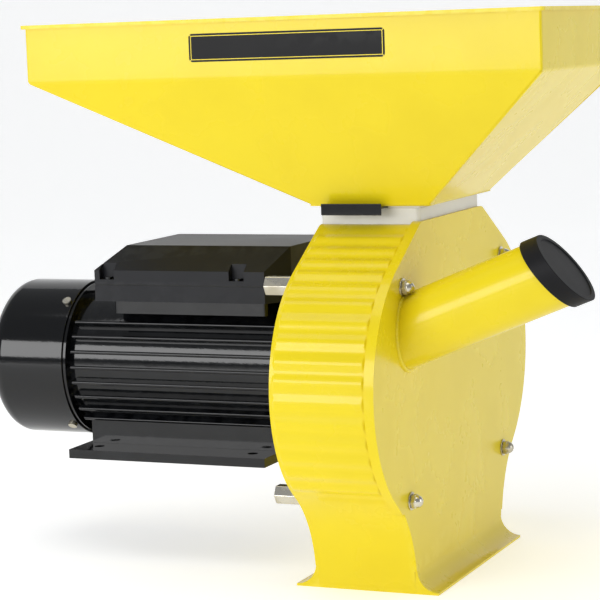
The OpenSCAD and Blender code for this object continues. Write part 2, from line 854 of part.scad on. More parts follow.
module motor_feet() {
  color(motor_black) difference() {
    for (s = [0, 1]) mirror([0, s, 0]) union() {
      block([foot_rear_x, web_offset, foot_height], [foot_front_x, foot_edge, foot_height + foot_t]);
      block([foot_rear_x + 5, web_offset, foot_height],
        [foot_front_x - 5, web_offset + foot_t, axis_height - barrel_r / 2]);
    }
    on_axis() rod_x(foot_rear_x - over, foot_front_x + over, barrel_r);
    for (x = [-1, 1]) for (y = [-1, 1])
      translate([foot_middle_x + x * foot_hole_x / 2, y * foot_hole_y / 2, foot_height - over])
        cylinder(h = foot_t + 2 * over, r = foot_hole_r);
  }
}

// Screws stand in stepped recesses beside the lid corners and run down into bosses of the tray
recess_x = [box_rear_x + 12, box_front_x - 41];
recess_half = 7;
recess_depth = 7;
lid_screw_r = 2;
boss_r = 4;

module at_lid_screws() {
  for (x = recess_x) for (s = [-1, 1])
    translate([x, s * (box_half_width - recess_depth / 2), 0]) children();
}

gland_x = box_rear_x + 30;
gland_r = 5;
gland_nut_r = 6;
gland_z = tray_low + box_t + gland_nut_r + slide_gap;

module terminal_tray() {
  color(plastic_black) difference() {
    translate([0, 0, tray_low]) linear_extrude(tray_height) box_plan(0);
    difference() {
      translate([0, 0, tray_low + box_t]) linear_extrude(tray_height) box_plan(box_t);
      at_lid_screws() translate([0, 0, tray_low]) cylinder(h = tray_height, r = boss_r);
    }
    at_lid_screws() translate([0, 0, tray_low + 4]) cylinder(h = tray_height, r = lid_screw_r);
    translate([gland_x, box_half_width - box_t - over, gland_z]) rotate([-90, 0, 0])
      cylinder(h = box_t + 2 * over, r = gland_r);
  }
}

module box_gasket() {
  color("#33363b") difference() {
    translate([0, 0, tray_high]) linear_extrude(gasket_t) box_plan(0.4);
    difference() {
      translate([0, 0, tray_high - over]) linear_extrude(gasket_t + 2 * over) box_plan(box_t);
      at_lid_screws() translate([0, 0, tray_high - over]) cylinder(h = gasket_t + 2 * over, r = boss_r);
    }
    at_lid_screws() translate([0, 0, tray_high - over]) cylinder(h = gasket_t + 2 * over, r = lid_screw_r);
  }
}

// Outer form of the lid, drawn in by d
module lid_form(d) {
  low = lid_low - (d > 0 ? over : 0);
  intersection() {
    translate([0, 0, low]) linear_extrude(lid_top - low - d) box_plan(d);
    translate([0, 2 * box_half_width, 0]) rotate([90, 0, 0]) linear_extrude(4 * box_half_width)
      polygon([[box_rear_x + d, low], [box_front_x - d, low], [box_front_x - d, lid_top - d],
        [box_rear_x + lid_rear_run + d * 0.6, lid_top - d], [box_rear_x + d, lid_shoulder - d * 0.4]]);
    along_x(box_rear_x, box_front_x)
      polygon([for (s = [-1, 1]) [s * (box_half_width - d), low],
        [box_half_width - d, lid_shoulder - d * 0.4], [lid_top_half_width - d * 0.4, lid_top - d],
        [-lid_top_half_width + d * 0.4, lid_top - d], [-box_half_width + d, lid_shoulder - d * 0.4]]);
  }
}

module recess(grow) {
  for (x = recess_x) for (s = [0, 1]) mirror([0, s, 0])
    block([x - recess_half - grow, box_half_width - recess_depth - grow, lid_low + 4 - grow],
      [x + recess_half + grow, box_half_width + over, lid_top]);
}

switch_x = box_rear_x + 90;
slope_angle = atan2(lid_slope, box_half_width - lid_top_half_width);
slope_middle_y = (box_half_width + lid_top_half_width) / 2;
slope_middle_z = (lid_shoulder + lid_top) / 2;
switch_length = 19;
switch_width = 13;
bezel = 2;

// Frame of the switch: local Z leaves the sloping side of the lid, local X runs along the shaft
module switch_place() {
  translate([switch_x, slope_middle_y, slope_middle_z]) rotate([-slope_angle, 0, 0]) children();
}

module terminal_lid() {
  color(plastic_black) difference() {
    lid_form(0);
    difference() {
      lid_form(box_t);
      recess(box_t);
    }
    recess(0);
    at_lid_screws() translate([0, 0, lid_low - over]) cylinder(h = 6 + over, r = lid_screw_r);
    switch_place() translate([0, 0, -1]) cube([switch_length, switch_width, 8], center = true);
  }
}

module lid_screws() {
  color(bare_steel) at_lid_screws() {
    translate([0, 0, tray_low + 4]) cylinder(h = lid_low + 4 - tray_low - 4, r = lid_screw_r);
    translate([0, 0, lid_low + 4]) cylinder(h = 2, r = 1.6 * lid_screw_r);
  }
}

// Two capacitors lie on the tray floor
cap_floor = tray_low + box_t;
start_r = 17;
run_r = 15;
start_y = -30;
run_y = 22;
cap_rear_x = box_rear_x + 45;
cap_front_x = box_front_x - 52;
clip_x = [cap_rear_x + 20, cap_front_x - 25];
clip_width = 6;
clip_t = 1.2;

module start_capacitor() {
  color(plastic_black) rod_x(cap_rear_x, cap_front_x, start_r, start_y, cap_floor + start_r);
}

module run_capacitor() {
  color("#d8d9d6") rod_x(cap_rear_x, cap_front_x - 5, run_r, run_y, cap_floor + run_r);
}

// A strap over a capacitor, with a foot on the tray at each side
module clip(r, y) {
  foot = r + 6;
  for (x = clip_x) translate([x, y, cap_floor + r]) difference() {
    union() {
      tube_x(0, clip_width, r + clip_t, r);
      block([0, -foot, -r], [clip_width, foot, -r + clip_t]);
    }
    rod_x(-over, clip_width + over, r);
    block([-over, -2 * r, -2 * r], [clip_width + over, 2 * r, -r]);
    block([-over, -r / 2, -2 * r], [clip_width + over, r / 2, 0]);
  }
}

module capacitor_clips() {
  color(bare_steel) {
    clip(start_r, start_y);
    clip(run_r, run_y);
  }
}

// The block stands across the box, between the capacitors and its front wall
block_rear_x = box_front_x - 39;
block_width = 18;
block_half = 32;
block_height = 16;
terminal_pitch = 12;

module terminal_block() {
  color("#3a3c40") difference() {
    block([block_rear_x, -block_half, cap_floor],
      [block_rear_x + block_width, block_half, cap_floor + block_height]);
    for (i = [-2:2]) translate([block_rear_x + block_width / 2, i * terminal_pitch, cap_floor + 6])
      cylinder(h = block_height, r = 2.2);
  }
}

module cable_gland() {
  color(plastic_black) translate([gland_x, box_half_width, gland_z]) rotate([-90, 0, 0]) difference() {
    union() {
      translate([0, 0, -box_t - 3]) cylinder(h = box_t + 3, r = gland_r);
      translate([0, 0, -box_t - 3]) cylinder(h = 3, r = gland_nut_r, $fn = 6);
      cylinder(h = 4, r = gland_nut_r, $fn = 6);
      translate([0, 0, 4]) cylinder(h = 9, r = gland_nut_r - 0.8);
    }
    translate([0, 0, -box_t - 4]) cylinder(h = 20, r = 3.2);
  }
}

rocker_r = 7.2;
rocker_lift = 1.5;
pivot_r = 1;
switch_wall = 1.5;

// Cylinder on the rocker's pivot, across the switch
module on_pivot(length, r) {
  translate([0, 0, rocker_lift]) rotate([90, 0, 0]) cylinder(h = length, r = r, center = true);
}

module switch_body() {
  color(plastic_black) switch_place() difference() {
    union() {
      translate([0, 0, -6]) cube([switch_length, switch_width, 12], center = true);
      translate([0, 0, rocker_lift])
        cube([switch_length + 2 * bezel, switch_width + 2 * bezel, 2 * rocker_lift], center = true);
    }
    cube([switch_length - 2 * switch_wall, switch_width - 2 * switch_wall, 2 * rocker_r], center = true);
    on_pivot(switch_width, pivot_r + running_fit);
  }
}

module switch_rocker() {
  cheek = switch_width - 2 * switch_wall - 2 * slide_gap;
  color("#b3261e") switch_place() {
    intersection() {
      on_pivot(cheek, rocker_r);
      translate([0, 0, rocker_lift]) cube([switch_length, cheek, rocker_r], center = true);
    }
    on_pivot(switch_width - 2 * slide_gap, pivot_r);
  }
}

rear_plate();
chamber_band();
front_cover();
inlet_tube();
inlet_cap();
tie_rods();
dome_nuts();
cover_washers();
rear_nuts();
sieve_screen();
sieve_rails();
neck();
shutter_guides();
shutter_plate();
hopper();
hopper_bolts();
motor_shaft();
shaft_key();
rotor_hub();
rotor_discs();
hammer_pins();
pin_spacers();
pin_clips();
shaft_nut();
hammers_a();
hammers_b();
hammers_c();
hammers_d();
motor_barrel();
front_shield();
rear_shield();
shield_bolts();
stator_core();
stator_windings();
rotor_core();
front_bearing();
rear_bearing();
cooling_fan();
fan_cover();
fan_cover_screws();
motor_feet();
terminal_tray();
box_gasket();
terminal_lid();
lid_screws();
start_capacitor();
run_capacitor();
capacitor_clips();
terminal_block();
cable_gland();
switch_body();
switch_rocker();
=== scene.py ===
import math

import bpy
from mathutils import Matrix, Vector


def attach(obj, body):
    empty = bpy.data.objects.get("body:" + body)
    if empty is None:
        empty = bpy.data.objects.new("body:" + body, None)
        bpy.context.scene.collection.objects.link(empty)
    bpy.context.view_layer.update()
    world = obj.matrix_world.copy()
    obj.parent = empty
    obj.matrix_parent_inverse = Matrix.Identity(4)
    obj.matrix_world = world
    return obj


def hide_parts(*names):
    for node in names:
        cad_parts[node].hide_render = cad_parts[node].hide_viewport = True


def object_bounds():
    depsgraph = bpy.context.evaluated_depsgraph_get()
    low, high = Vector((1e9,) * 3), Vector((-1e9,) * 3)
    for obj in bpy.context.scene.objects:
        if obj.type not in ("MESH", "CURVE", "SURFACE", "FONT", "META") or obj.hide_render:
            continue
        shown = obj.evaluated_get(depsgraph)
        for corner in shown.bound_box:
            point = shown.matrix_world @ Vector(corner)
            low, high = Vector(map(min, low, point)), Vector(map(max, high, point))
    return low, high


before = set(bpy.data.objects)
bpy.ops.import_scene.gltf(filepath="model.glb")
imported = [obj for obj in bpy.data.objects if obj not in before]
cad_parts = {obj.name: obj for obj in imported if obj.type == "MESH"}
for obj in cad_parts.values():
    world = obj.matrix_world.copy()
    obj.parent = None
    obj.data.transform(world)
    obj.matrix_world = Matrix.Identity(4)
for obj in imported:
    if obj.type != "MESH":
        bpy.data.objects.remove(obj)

cad_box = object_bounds()

# ---------------------------------------------------------------------------
# Studio: a pale seamless sweep of painted board, three softboxes and a dim room.
# The mill stands on its base flanges on the sweep.
MM = 0.001
VIEW_TURN = math.radians(23.65)
VIEW_RISE = math.radians(6.91)
VIEW_ROLL = math.radians(-1.99)
SWEEP_WIDTH, SWEEP_DEPTH, SWEEP_MIDDLE = 14, 13, -1.6
SWEEP_RISE, SWEEP_BEND = 5, 2.0
BACK_OF_SWEEP = 2000
MILL_MIDDLE = Vector((-0.05, 0, 0.24))


def on_its_own(piece):
    """Leaves edit mode and selects only this piece."""
    if bpy.context.object and bpy.context.object.mode != "OBJECT":
        bpy.ops.object.mode_set(mode="OBJECT")
    bpy.ops.object.select_all(action="DESELECT")
    piece.select_set(True)
    bpy.context.view_layer.objects.active = piece


def added(name, scale=(1, 1, 1)):
    """Names the primitive that was just added and puts its scale and place into its mesh."""
    piece = bpy.context.object
    piece.scale = scale
    piece.name = piece.data.name = name
    on_its_own(piece)
    bpy.ops.object.transform_apply(location=True, rotation=True, scale=True)
    return piece


def mark(piece, kind, test):
    """Opens the piece for editing with the faces, edges or points that pass the test, in mm."""
    on_its_own(piece)
    bpy.ops.object.mode_set(mode="EDIT")
    bpy.ops.mesh.select_mode(type=kind)
    bpy.ops.mesh.select_all(action="DESELECT")
    bpy.ops.object.mode_set(mode="OBJECT")
    mesh = piece.data
    if kind == "FACE":
        for face in mesh.polygons:
            face.select = bool(test(face.center / MM, face.normal))
    elif kind == "EDGE":
        for edge in mesh.edges:
            a, b = (mesh.vertices[i].co / MM for i in edge.vertices)
            edge.select = bool(test((a + b) / 2, (b - a).normalized()))
    else:
        for point in mesh.vertices:
            point.select = bool(test(point.co / MM, point.normal))
    bpy.ops.object.mode_set(mode="EDIT")


def close_up():
    """Ends the editing that mark began."""
    bpy.ops.object.mode_set(mode="OBJECT")


def rounded(piece, test, radius, segments):
    """Rounds the edges that pass the test, with the radius in mm."""
    mark(piece, "EDGE", test)
    bpy.ops.mesh.bevel(offset=radius * MM, segments=segments, affect="EDGES")
    close_up()


def opened(piece, test):
    """Takes away the faces that pass the test."""
    mark(piece, "FACE", test)
    bpy.ops.mesh.delete(type="FACE")
    close_up()


bpy.context.scene.view_settings.view_transform = "Standard"

bpy.ops.mesh.primitive_plane_add(size=1, location=(0, SWEEP_MIDDLE, 0))
sweep = added("studio_sweep", (SWEEP_WIDTH, SWEEP_DEPTH, 1))
sweep.data.transform(Matrix.Translation((0, 0, cad_box[0].z)))
mark(sweep, "EDGE", lambda mid, way: mid.y > BACK_OF_SWEEP and abs(way.x) > 0.9)
bpy.ops.mesh.extrude_region_move(TRANSFORM_OT_translate={"value": (0, 0, SWEEP_RISE)})
close_up()
rounded(
    sweep,
    lambda mid, way: mid.y > BACK_OF_SWEEP and abs(way.x) > 0.9 and mid.z < 100,
    SWEEP_BEND / MM,
    32,
)
on_its_own(sweep)
bpy.ops.object.shade_smooth()
sweep.data.transform(Matrix.Rotation(VIEW_TURN, 4, "Z"))

board = bpy.data.materials.new("studio_board")
board.use_nodes = True
board_shader = board.node_tree.nodes["Principled BSDF"]
board_shader.inputs["Base Color"].default_value = (0.90, 0.90, 0.895, 1)
board_shader.inputs["Roughness"].default_value = 0.75
board_shader.inputs["Specular IOR Level"].default_value = 0.1
board_shader.inputs["Emission Color"].default_value = (1, 1, 1, 1)
board_shader.inputs["Emission Strength"].default_value = 0.43
sweep.data.materials.append(board)

room = bpy.data.worlds.new("studio_room")
bpy.context.scene.world = room
room.use_nodes = True
room_nodes, room_links = room.node_tree.nodes, room.node_tree.links
room_nodes.clear()
dim_room = room_nodes.new("ShaderNodeBackground")
dim_room.inputs["Color"].default_value = (0.93, 0.96, 1.0, 1)
dim_room.inputs["Strength"].default_value = 0.33
room_out = room_nodes.new("ShaderNodeOutputWorld")
room_links.new(dim_room.outputs[0], room_out.inputs["Surface"])


def softbox(name, place, width, height, power):
    """An area light aimed at the middle of the mill."""
    bpy.ops.object.light_add(type="AREA", location=place)
    lamp = bpy.context.object
    lamp.name = name
    lamp.data.shape = "RECTANGLE"
    lamp.data.size = width
    lamp.data.size_y = height
    lamp.data.energy = power
    aim = MILL_MIDDLE - lamp.location
    lamp.rotation_euler = aim.to_track_quat("-Z", "Y").to_euler()


softbox("softbox_front", (-1.1, -2.35, 0.80), 2.0, 0.9, 34)
softbox("softbox_top", (-0.3, -0.6, 2.6), 2.2, 1.6, 20)
softbox("softbox_right", (2.4, 0.2, 0.7), 1.2, 1.2, 11)

bpy.ops.object.camera_add(location=(0.672636, -1.760379, 0.458849))
camera = bpy.context.object
camera.name = "camera"
camera.rotation_euler = (
    Matrix.Rotation(VIEW_TURN, 4, "Z")
    @ Matrix.Rotation(math.pi / 2 - VIEW_RISE, 4, "X")
    @ Matrix.Rotation(VIEW_ROLL, 4, "Z")
).to_euler()
camera.data.sensor_width = 36
camera.data.lens = 133.11
bpy.context.scene.camera = camera

# ---------------------------------------------------------------------------
# Hopper: 1.2 mm steel sheet, cut and folded into a straight band over a tapered
# funnel, seam-welded at the corners, hemmed at the rim and powder coated yellow.
# Five feed windows are cut through its floor. RIM_Z leaves room for the hem's sheet.
RIM_LOW, RIM_HIGH = (-292.0, -118.3), (163.0, 118.3)
FLOOR_LOW, FLOOR_HIGH = (-52.5, -77.2), (53.2, 77.2)
FLOOR_Z, TAPER_LOW, TAPER_HIGH, RIM_Z = 314.9, 316.1, 422.1, 470.1
HOPPER_SHEET = 1.2
RIM_LIP = 2.0
FOLD_R = 2.0
WINDOWS, WINDOW_WIDTH, WINDOW_STEP = 5, 8.5, 25.5
WINDOW_REACH = (-31.0, 8.0)
CUT_OVER = 5.0
DUST_TINT = (0.55, 0.52, 0.46, 1)
DUST_DULLS, RUB_SHARE, CLEAR_COAT_ROUGH = 0.5, 0.5, 0.06


def put(tree, kind, values=None, wires=None, **settings):
    """Adds a shader node, fills its sockets and wires it up."""
    one = tree.nodes.new(kind)
    for key, value in settings.items():
        setattr(one, key, value)
    for key, value in (values or {}).items():
        one.inputs[key].default_value = value
    for key, source in (wires or {}).items():
        tree.links.new(source, one.inputs[key])
    return one


def open_group(name, inputs, outputs):
    """Starts a shader node group with number inputs and outputs."""
    group = bpy.data.node_groups.new(name, "ShaderNodeTree")
    for label, value in inputs.items():
        socket = group.interface.new_socket(
            name=label, in_out="INPUT", socket_type="NodeSocketFloat"
        )
        socket.default_value = value
    for label in outputs:
        group.interface.new_socket(
            name=label, in_out="OUTPUT", socket_type="NodeSocketFloat"
        )
    return group, group.nodes.new("NodeGroupInput"), group.nodes.new("NodeGroupOutput")


def times(tree, a, b):
    """Product of an output and a number or another output."""
    one = put(tree, "ShaderNodeMath", operation="MULTIPLY", wires={0: a})
    if hasattr(b, "node"):
        tree.links.new(b, one.inputs[1])
    else:
        one.inputs[1].default_value = b
    return one.outputs[0]


def ranged(tree, source, low, high, to_low=0.0, to_high=1.0):
    """Maps an output from one range to another, eased at both ends."""
    return put(
        tree,
        "ShaderNodeMapRange",
        {"From Min": low, "From Max": high, "To Min": to_low, "To Max": to_high},
        {"Value": source},
        interpolation_type="SMOOTHSTEP",
    ).outputs["Result"]


# What a coated surface shows: orange peel, slow mottle, settled dust and rubbed edges
coat_group, coat_in, coat_out = open_group(
    "coated_surface",
    {"Peel Size": 700.0, "Mottle Size": 14.0},
    ("Peel", "Mottle", "Dust", "Edge"),
)
spot = coat_group.nodes.new("ShaderNodeTexCoord").outputs["Object"]
shape = coat_group.nodes.new("ShaderNodeNewGeometry")
peel = put(
    coat_group,
    "ShaderNodeTexNoise",
    {"Detail": 2.0},
    {"Vector": spot, "Scale": coat_in.outputs[0]},
)
mottle = put(
    coat_group,
    "ShaderNodeTexNoise",
    {"Detail": 4.0, "Roughness": 0.55},
    {"Vector": spot, "Scale": coat_in.outputs[1]},
)
facing = put(coat_group, "ShaderNodeSeparateXYZ", wires={0: shape.outputs["Normal"]})
grit = put(
    coat_group,
    "ShaderNodeTexNoise",
    {"Scale": 160.0, "Detail": 6.0, "Roughness": 0.7},
    {"Vector": spot},
)
rubbing = put(
    coat_group, "ShaderNodeTexNoise", {"Scale": 90.0, "Detail": 3.0}, {"Vector": spot}
)
coat_links = coat_group.links
coat_links.new(peel.outputs[0], coat_out.inputs["Peel"])
coat_links.new(mottle.outputs[0], coat_out.inputs["Mottle"])
coat_links.new(
    times(
        coat_group,
        ranged(coat_group, facing.outputs["Z"], 0.35, 1.0),
        ranged(coat_group, grit.outputs[0], 0.42, 0.72),
    ),
    coat_out.inputs["Dust"],
)
coat_links.new(
    times(
        coat_group,
        ranged(coat_group, shape.outputs["Pointiness"], 0.53, 0.64),
        ranged(coat_group, rubbing.outputs[0], 0.38, 0.6),
    ),
    coat_out.inputs["Edge"],
)


def coating(
    name, base, deep, rubbed, rough, coat, peel_size, peel_depth,
    dust=0.15, spread=0.08, gloss=0.5,
):
    """A painted or moulded finish: base fades to deep in the mottle, to rubbed on the edges."""
    paint = bpy.data.materials.new(name)
    paint.use_nodes = True
    tree = paint.node_tree
    shader = tree.nodes["Principled BSDF"]
    surface = put(tree, "ShaderNodeGroup", node_tree=coat_group)
    surface.inputs["Peel Size"].default_value = peel_size
    tone = put(
        tree,
        "ShaderNodeMix",
        {6: (*base, 1), 7: (*deep, 1)},
        {0: ranged(tree, surface.outputs["Mottle"], 0.35, 0.7)},
        data_type="RGBA",
    )
    worn = put(
        tree,
        "ShaderNodeMix",
        {7: (*rubbed, 1)},
        {0: times(tree, surface.outputs["Edge"], RUB_SHARE), 6: tone.outputs[2]},
        data_type="RGBA",
    )
    dusted = put(
        tree,
        "ShaderNodeMix",
        {7: DUST_TINT},
        {0: times(tree, surface.outputs["Dust"], dust), 6: worn.outputs[2]},
        data_type="RGBA",
    )
    tree.links.new(dusted.outputs[2], shader.inputs["Base Color"])
    sheen = ranged(tree, surface.outputs["Mottle"], 0.3, 0.75, rough, rough + spread)
    dull = put(
        tree,
        "ShaderNodeMath",
        operation="MULTIPLY_ADD",
        wires={0: surface.outputs["Dust"], 2: sheen},
    )
    dull.inputs[1].default_value = DUST_DULLS * dust
    tree.links.new(dull.outputs[0], shader.inputs["Roughness"])
    shader.inputs["Specular IOR Level"].default_value = gloss
    shader.inputs["Coat Weight"].default_value = coat
    shader.inputs["Coat Roughness"].default_value = CLEAR_COAT_ROUGH
    bump = put(
        tree,
        "ShaderNodeBump",
        {"Strength": 1.0, "Distance": peel_depth * MM},
        {"Height": surface.outputs["Peel"]},
    )
    tree.links.new(bump.outputs[0], shader.inputs["Normal"])
    return paint


yellow_paint = coating(
    "yellow_powder_coat",
    (0.79, 0.625, 0.009),
    (0.76, 0.595, 0.008),
    (0.86, 0.72, 0.09),
    0.26, 0.18, 420.0, 0.02, dust=0.03, spread=0.04, gloss=0.25,
)


def block(name, low, high):
    """A box between two corners, in mm."""
    bpy.ops.mesh.primitive_cube_add(
        size=1,
        location=[(a + b) / 2 * MM for a, b in zip(low, high)],
    )
    return added(name, [(b - a) * MM for a, b in zip(low, high)])


def worked(piece, kind, **settings):
    """Puts a modifier on the piece and applies it."""
    on_its_own(piece)
    modifier = piece.modifiers.new(kind.lower(), kind)
    for key, value in settings.items():
        setattr(modifier, key, value)
    bpy.ops.object.modifier_apply(modifier=modifier.name)


def eased(piece, width, segments=2, sharper_than=40):
    """Rounds every edge sharper than the angle and smooths the rest."""
    worked(
        piece,
        "BEVEL",
        width=width * MM,
        segments=segments,
        limit_method="ANGLE",
        angle_limit=math.radians(sharper_than),
        use_clamp_overlap=True,
    )
    smoothed(piece)


def smoothed(piece, angle=50):
    """Smooths what bends less than the angle and keeps the flat faces flat."""
    on_its_own(piece)
    bpy.ops.object.shade_smooth_by_angle(angle=math.radians(angle))
    worked(piece, "WEIGHTED_NORMAL", keep_sharp=True)


def cut_away(piece, cutter):
    """Takes the cutter's shape out of the piece."""
    worked(piece, "BOOLEAN", operation="DIFFERENCE", solver="EXACT", object=cutter)
    bpy.data.objects.remove(cutter)


def feed_windows(name, low, high):
    """The five feed windows as one cutter that reaches past both heights, in mm."""
    first = -(WINDOWS - 1) / 2 * WINDOW_STEP
    cutter = block(
        name,
        (WINDOW_REACH[0], first - WINDOW_WIDTH / 2, low - CUT_OVER),
        (WINDOW_REACH[1], first + WINDOW_WIDTH / 2, high + CUT_OVER),
    )
    worked(
        cutter,
        "ARRAY",
        count=WINDOWS,
        use_relative_offset=False,
        use_constant_offset=True,
        constant_offset_displace=(0, WINDOW_STEP * MM, 0),
    )
    return cutter


def finished(piece, paint, body, slot, *nodes):
    """Gives the piece its finish and its body, and hides what it stands for. The slot is not used.
    """
    piece.data.materials.clear()
    piece.data.materials.append(paint)
    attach(piece, body)
    if nodes:
        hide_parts(*nodes)


hopper = block("hopper_sheet", (*RIM_LOW, TAPER_HIGH), (*RIM_HIGH, RIM_Z))
mark(hopper, "FACE", lambda mid, out: out.z < -0.9)
bpy.ops.mesh.extrude_region_move(
    TRANSFORM_OT_translate={
        "value": (
            (FLOOR_LOW[0] + FLOOR_HIGH[0] - RIM_LOW[0] - RIM_HIGH[0]) / 2 * MM,
            0,
            (TAPER_LOW - TAPER_HIGH) * MM,
        )
    }
)
bpy.ops.transform.resize(
    value=(
        (FLOOR_HIGH[0] - FLOOR_LOW[0]) / (RIM_HIGH[0] - RIM_LOW[0]),
        FLOOR_HIGH[1] / RIM_HIGH[1],
        1,
    ),
    center_override=((FLOOR_LOW[0] + FLOOR_HIGH[0]) / 2 * MM, 0, TAPER_LOW * MM),
)
bpy.ops.mesh.extrude_region_move(
    TRANSFORM_OT_translate={"value": (0, 0, (FLOOR_Z - TAPER_LOW) * MM)}
)
close_up()
opened(hopper, lambda mid, out: out.z > 0.9)
rounded(hopper, lambda mid, way: TAPER_LOW + 1 < mid.z < RIM_Z - 0.1, FOLD_R, 3)
mark(hopper, "EDGE", lambda mid, way: mid.z > RIM_Z - 0.1)
bpy.ops.mesh.extrude_edges_move()
bpy.ops.transform.resize(
    value=(
        (RIM_HIGH[0] + RIM_LIP - RIM_LOW[0] + RIM_LIP) / (RIM_HIGH[0] - RIM_LOW[0]),
        (RIM_HIGH[1] + RIM_LIP) / RIM_HIGH[1],
        1,
    ),
    center_override=((RIM_LOW[0] + RIM_HIGH[0]) / 2 * MM, 0, RIM_Z * MM),
)
bpy.ops.mesh.extrude_edges_move(TRANSFORM_OT_translate={"value": (0, 0, -RIM_LIP * MM)})
close_up()
worked(hopper, "SOLIDIFY", thickness=HOPPER_SHEET * MM, offset=-1, use_even_offset=True)
cut_away(hopper, feed_windows("floor_windows", FLOOR_Z, TAPER_LOW))
smoothed(hopper)
finished(hopper, yellow_paint, "root", "yellow_paint", "hopper")

# Seams of the front panel: a narrow flange left standing along each sloping corner
# and welded to the side panel.
SEAM_WIDTH, SEAM_DEPTH = 0.9, 0.6
for side in (-1, 1):
    seam = block(f"hopper_seam_{'near' if side < 0 else 'far'}", (-1, -1, -1), (1, 1, 1))
    low = Vector((FLOOR_HIGH[0], side * FLOOR_HIGH[1], TAPER_LOW + 1.5))
    high = Vector((RIM_HIGH[0] - 0.5, side * RIM_HIGH[1], TAPER_HIGH - 0.5))
    for point in seam.data.vertices:
        foot = high if point.co.z > 0 else low
        across = Vector((SEAM_WIDTH * point.co.x, SEAM_DEPTH * point.co.y, 0))
        point.co = foot * MM + across
    eased(seam, 0.5)
    finished(seam, yellow_paint, "root", "yellow_paint")

# Label: a plain black vinyl plate with a thin yellow line printed inside its edge,
# stuck on the band of the hopper.
LABEL_LOW, LABEL_HIGH = (-138, -118.55, 436.5), (34, -118.25, 459.5)
LABEL_CORNER, LINE_INSET, LINE_WIDTH = 3.0, 1.6, 0.6
LINE_AREA = 2.0e-4
black_vinyl = coating(
    "black_vinyl", (0.006, 0.006, 0.0065), (0.008, 0.008, 0.009), (0.03, 0.03, 0.03),
    0.38, 0.0, 900.0, 0.01, dust=0.0, gloss=0.15,
)
label = block("blank_label", LABEL_LOW, LABEL_HIGH)
rounded(label, lambda mid, way: abs(way.y) > 0.9, LABEL_CORNER, 5)
mark(label, "FACE", lambda mid, out: out.y < -0.9)
bpy.ops.mesh.inset(thickness=LINE_INSET * MM)
bpy.ops.mesh.inset(thickness=LINE_WIDTH * MM)
close_up()
smoothed(label)
finished(label, black_vinyl, "root", "black_plastic")
label.data.materials.append(yellow_paint)
label_middle = (Vector(LABEL_LOW) + Vector(LABEL_HIGH)) / 2
label_reach = (Vector(LABEL_HIGH) - Vector(LABEL_LOW)) / 2
for face in label.data.polygons:
    off = face.center / MM - label_middle
    inner = all(abs(off[i]) < label_reach[i] - LINE_INSET + 0.2 for i in (0, 2))
    line = face.normal.y < -0.9 and face.area < LINE_AREA and inner
    face.material_index = 1 if line else 0

# ---------------------------------------------------------------------------
# Zinc-plated steel and dark machined steel, for the fasteners, shafts and rotor.
# Fine draw lines, a slow tarnish and small pits break up the reflections.
steel_group, steel_in, steel_out = open_group(
    "worked_steel", {"Line Size": 1500.0, "Pit Size": 260.0}, ("Lines", "Tarnish", "Pits")
)
steel_spot = steel_group.nodes.new("ShaderNodeTexCoord").outputs["Object"]
drawn = put(
    steel_group, "ShaderNodeMapping", {"Scale": (1.0, 0.06, 0.06)}, {"Vector": steel_spot}
)
lines = put(
    steel_group, "ShaderNodeTexNoise", {"Detail": 3.0},
    {"Vector": drawn.outputs[0], "Scale": steel_in.outputs[0]},
)
tarnish = put(
    steel_group, "ShaderNodeTexNoise", {"Scale": 55.0, "Detail": 5.0}, {"Vector": steel_spot}
)
pits = put(
    steel_group,
    "ShaderNodeTexVoronoi",
    wires={"Vector": steel_spot, "Scale": steel_in.outputs[1]},
)
steel_links = steel_group.links
steel_links.new(lines.outputs[0], steel_out.inputs["Lines"])
steel_links.new(
    ranged(steel_group, tarnish.outputs[0], 0.35, 0.7), steel_out.inputs["Tarnish"]
)
steel_links.new(
    ranged(steel_group, pits.outputs["Distance"], 0.0, 0.35), steel_out.inputs["Pits"]
)


def steel(name, bright, dull, rough, spread, metallic=1.0, line_depth=0.006, pit_depth=0.0):
    """A bare or plated metal finish: bright fades to dull in the tarnish."""
    metal = bpy.data.materials.new(name)
    metal.use_nodes = True
    tree = metal.node_tree
    shader = tree.nodes["Principled BSDF"]
    surface = put(tree, "ShaderNodeGroup", node_tree=steel_group)
    tone = put(
        tree, "ShaderNodeMix", {6: (*bright, 1), 7: (*dull, 1)},
        {0: surface.outputs["Tarnish"]}, data_type="RGBA",
    )
    tree.links.new(tone.outputs[2], shader.inputs["Base Color"])
    tree.links.new(
        ranged(tree, surface.outputs["Tarnish"], 0.0, 1.0, rough, rough + spread),
        shader.inputs["Roughness"],
    )
    shader.inputs["Metallic"].default_value = metallic
    if pit_depth:
        height, depth = surface.outputs["Pits"], pit_depth
    else:
        height, depth = surface.outputs["Lines"], line_depth
    bump = put(
        tree, "ShaderNodeBump", {"Strength": 1.0, "Distance": depth * MM}, {"Height": height}
    )
    tree.links.new(bump.outputs[0], shader.inputs["Normal"])
    return metal


zinc_plate = steel("zinc_plate", (0.66, 0.63, 0.55), (0.50, 0.46, 0.36), 0.22, 0.16)
bright_steel = steel("bright_steel", (0.62, 0.62, 0.61), (0.42, 0.42, 0.41), 0.24, 0.2)
dark_steel = steel(
    "hardened_steel", (0.16, 0.165, 0.175), (0.09, 0.085, 0.085), 0.38, 0.22, pit_depth=0.05
)
copper_wire = steel("lacquered_copper", (0.62, 0.25, 0.10), (0.42, 0.15, 0.06), 0.28, 0.2)
drawn_aluminium = steel("drawn_aluminium", (0.75, 0.76, 0.77), (0.58, 0.59, 0.6), 0.28, 0.18)


def refinish(metal, *nodes):
    """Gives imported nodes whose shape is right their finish."""
    for name in nodes:
        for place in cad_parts[name].material_slots:
            place.material = metal


refinish(bright_steel, "hopper_bolts")

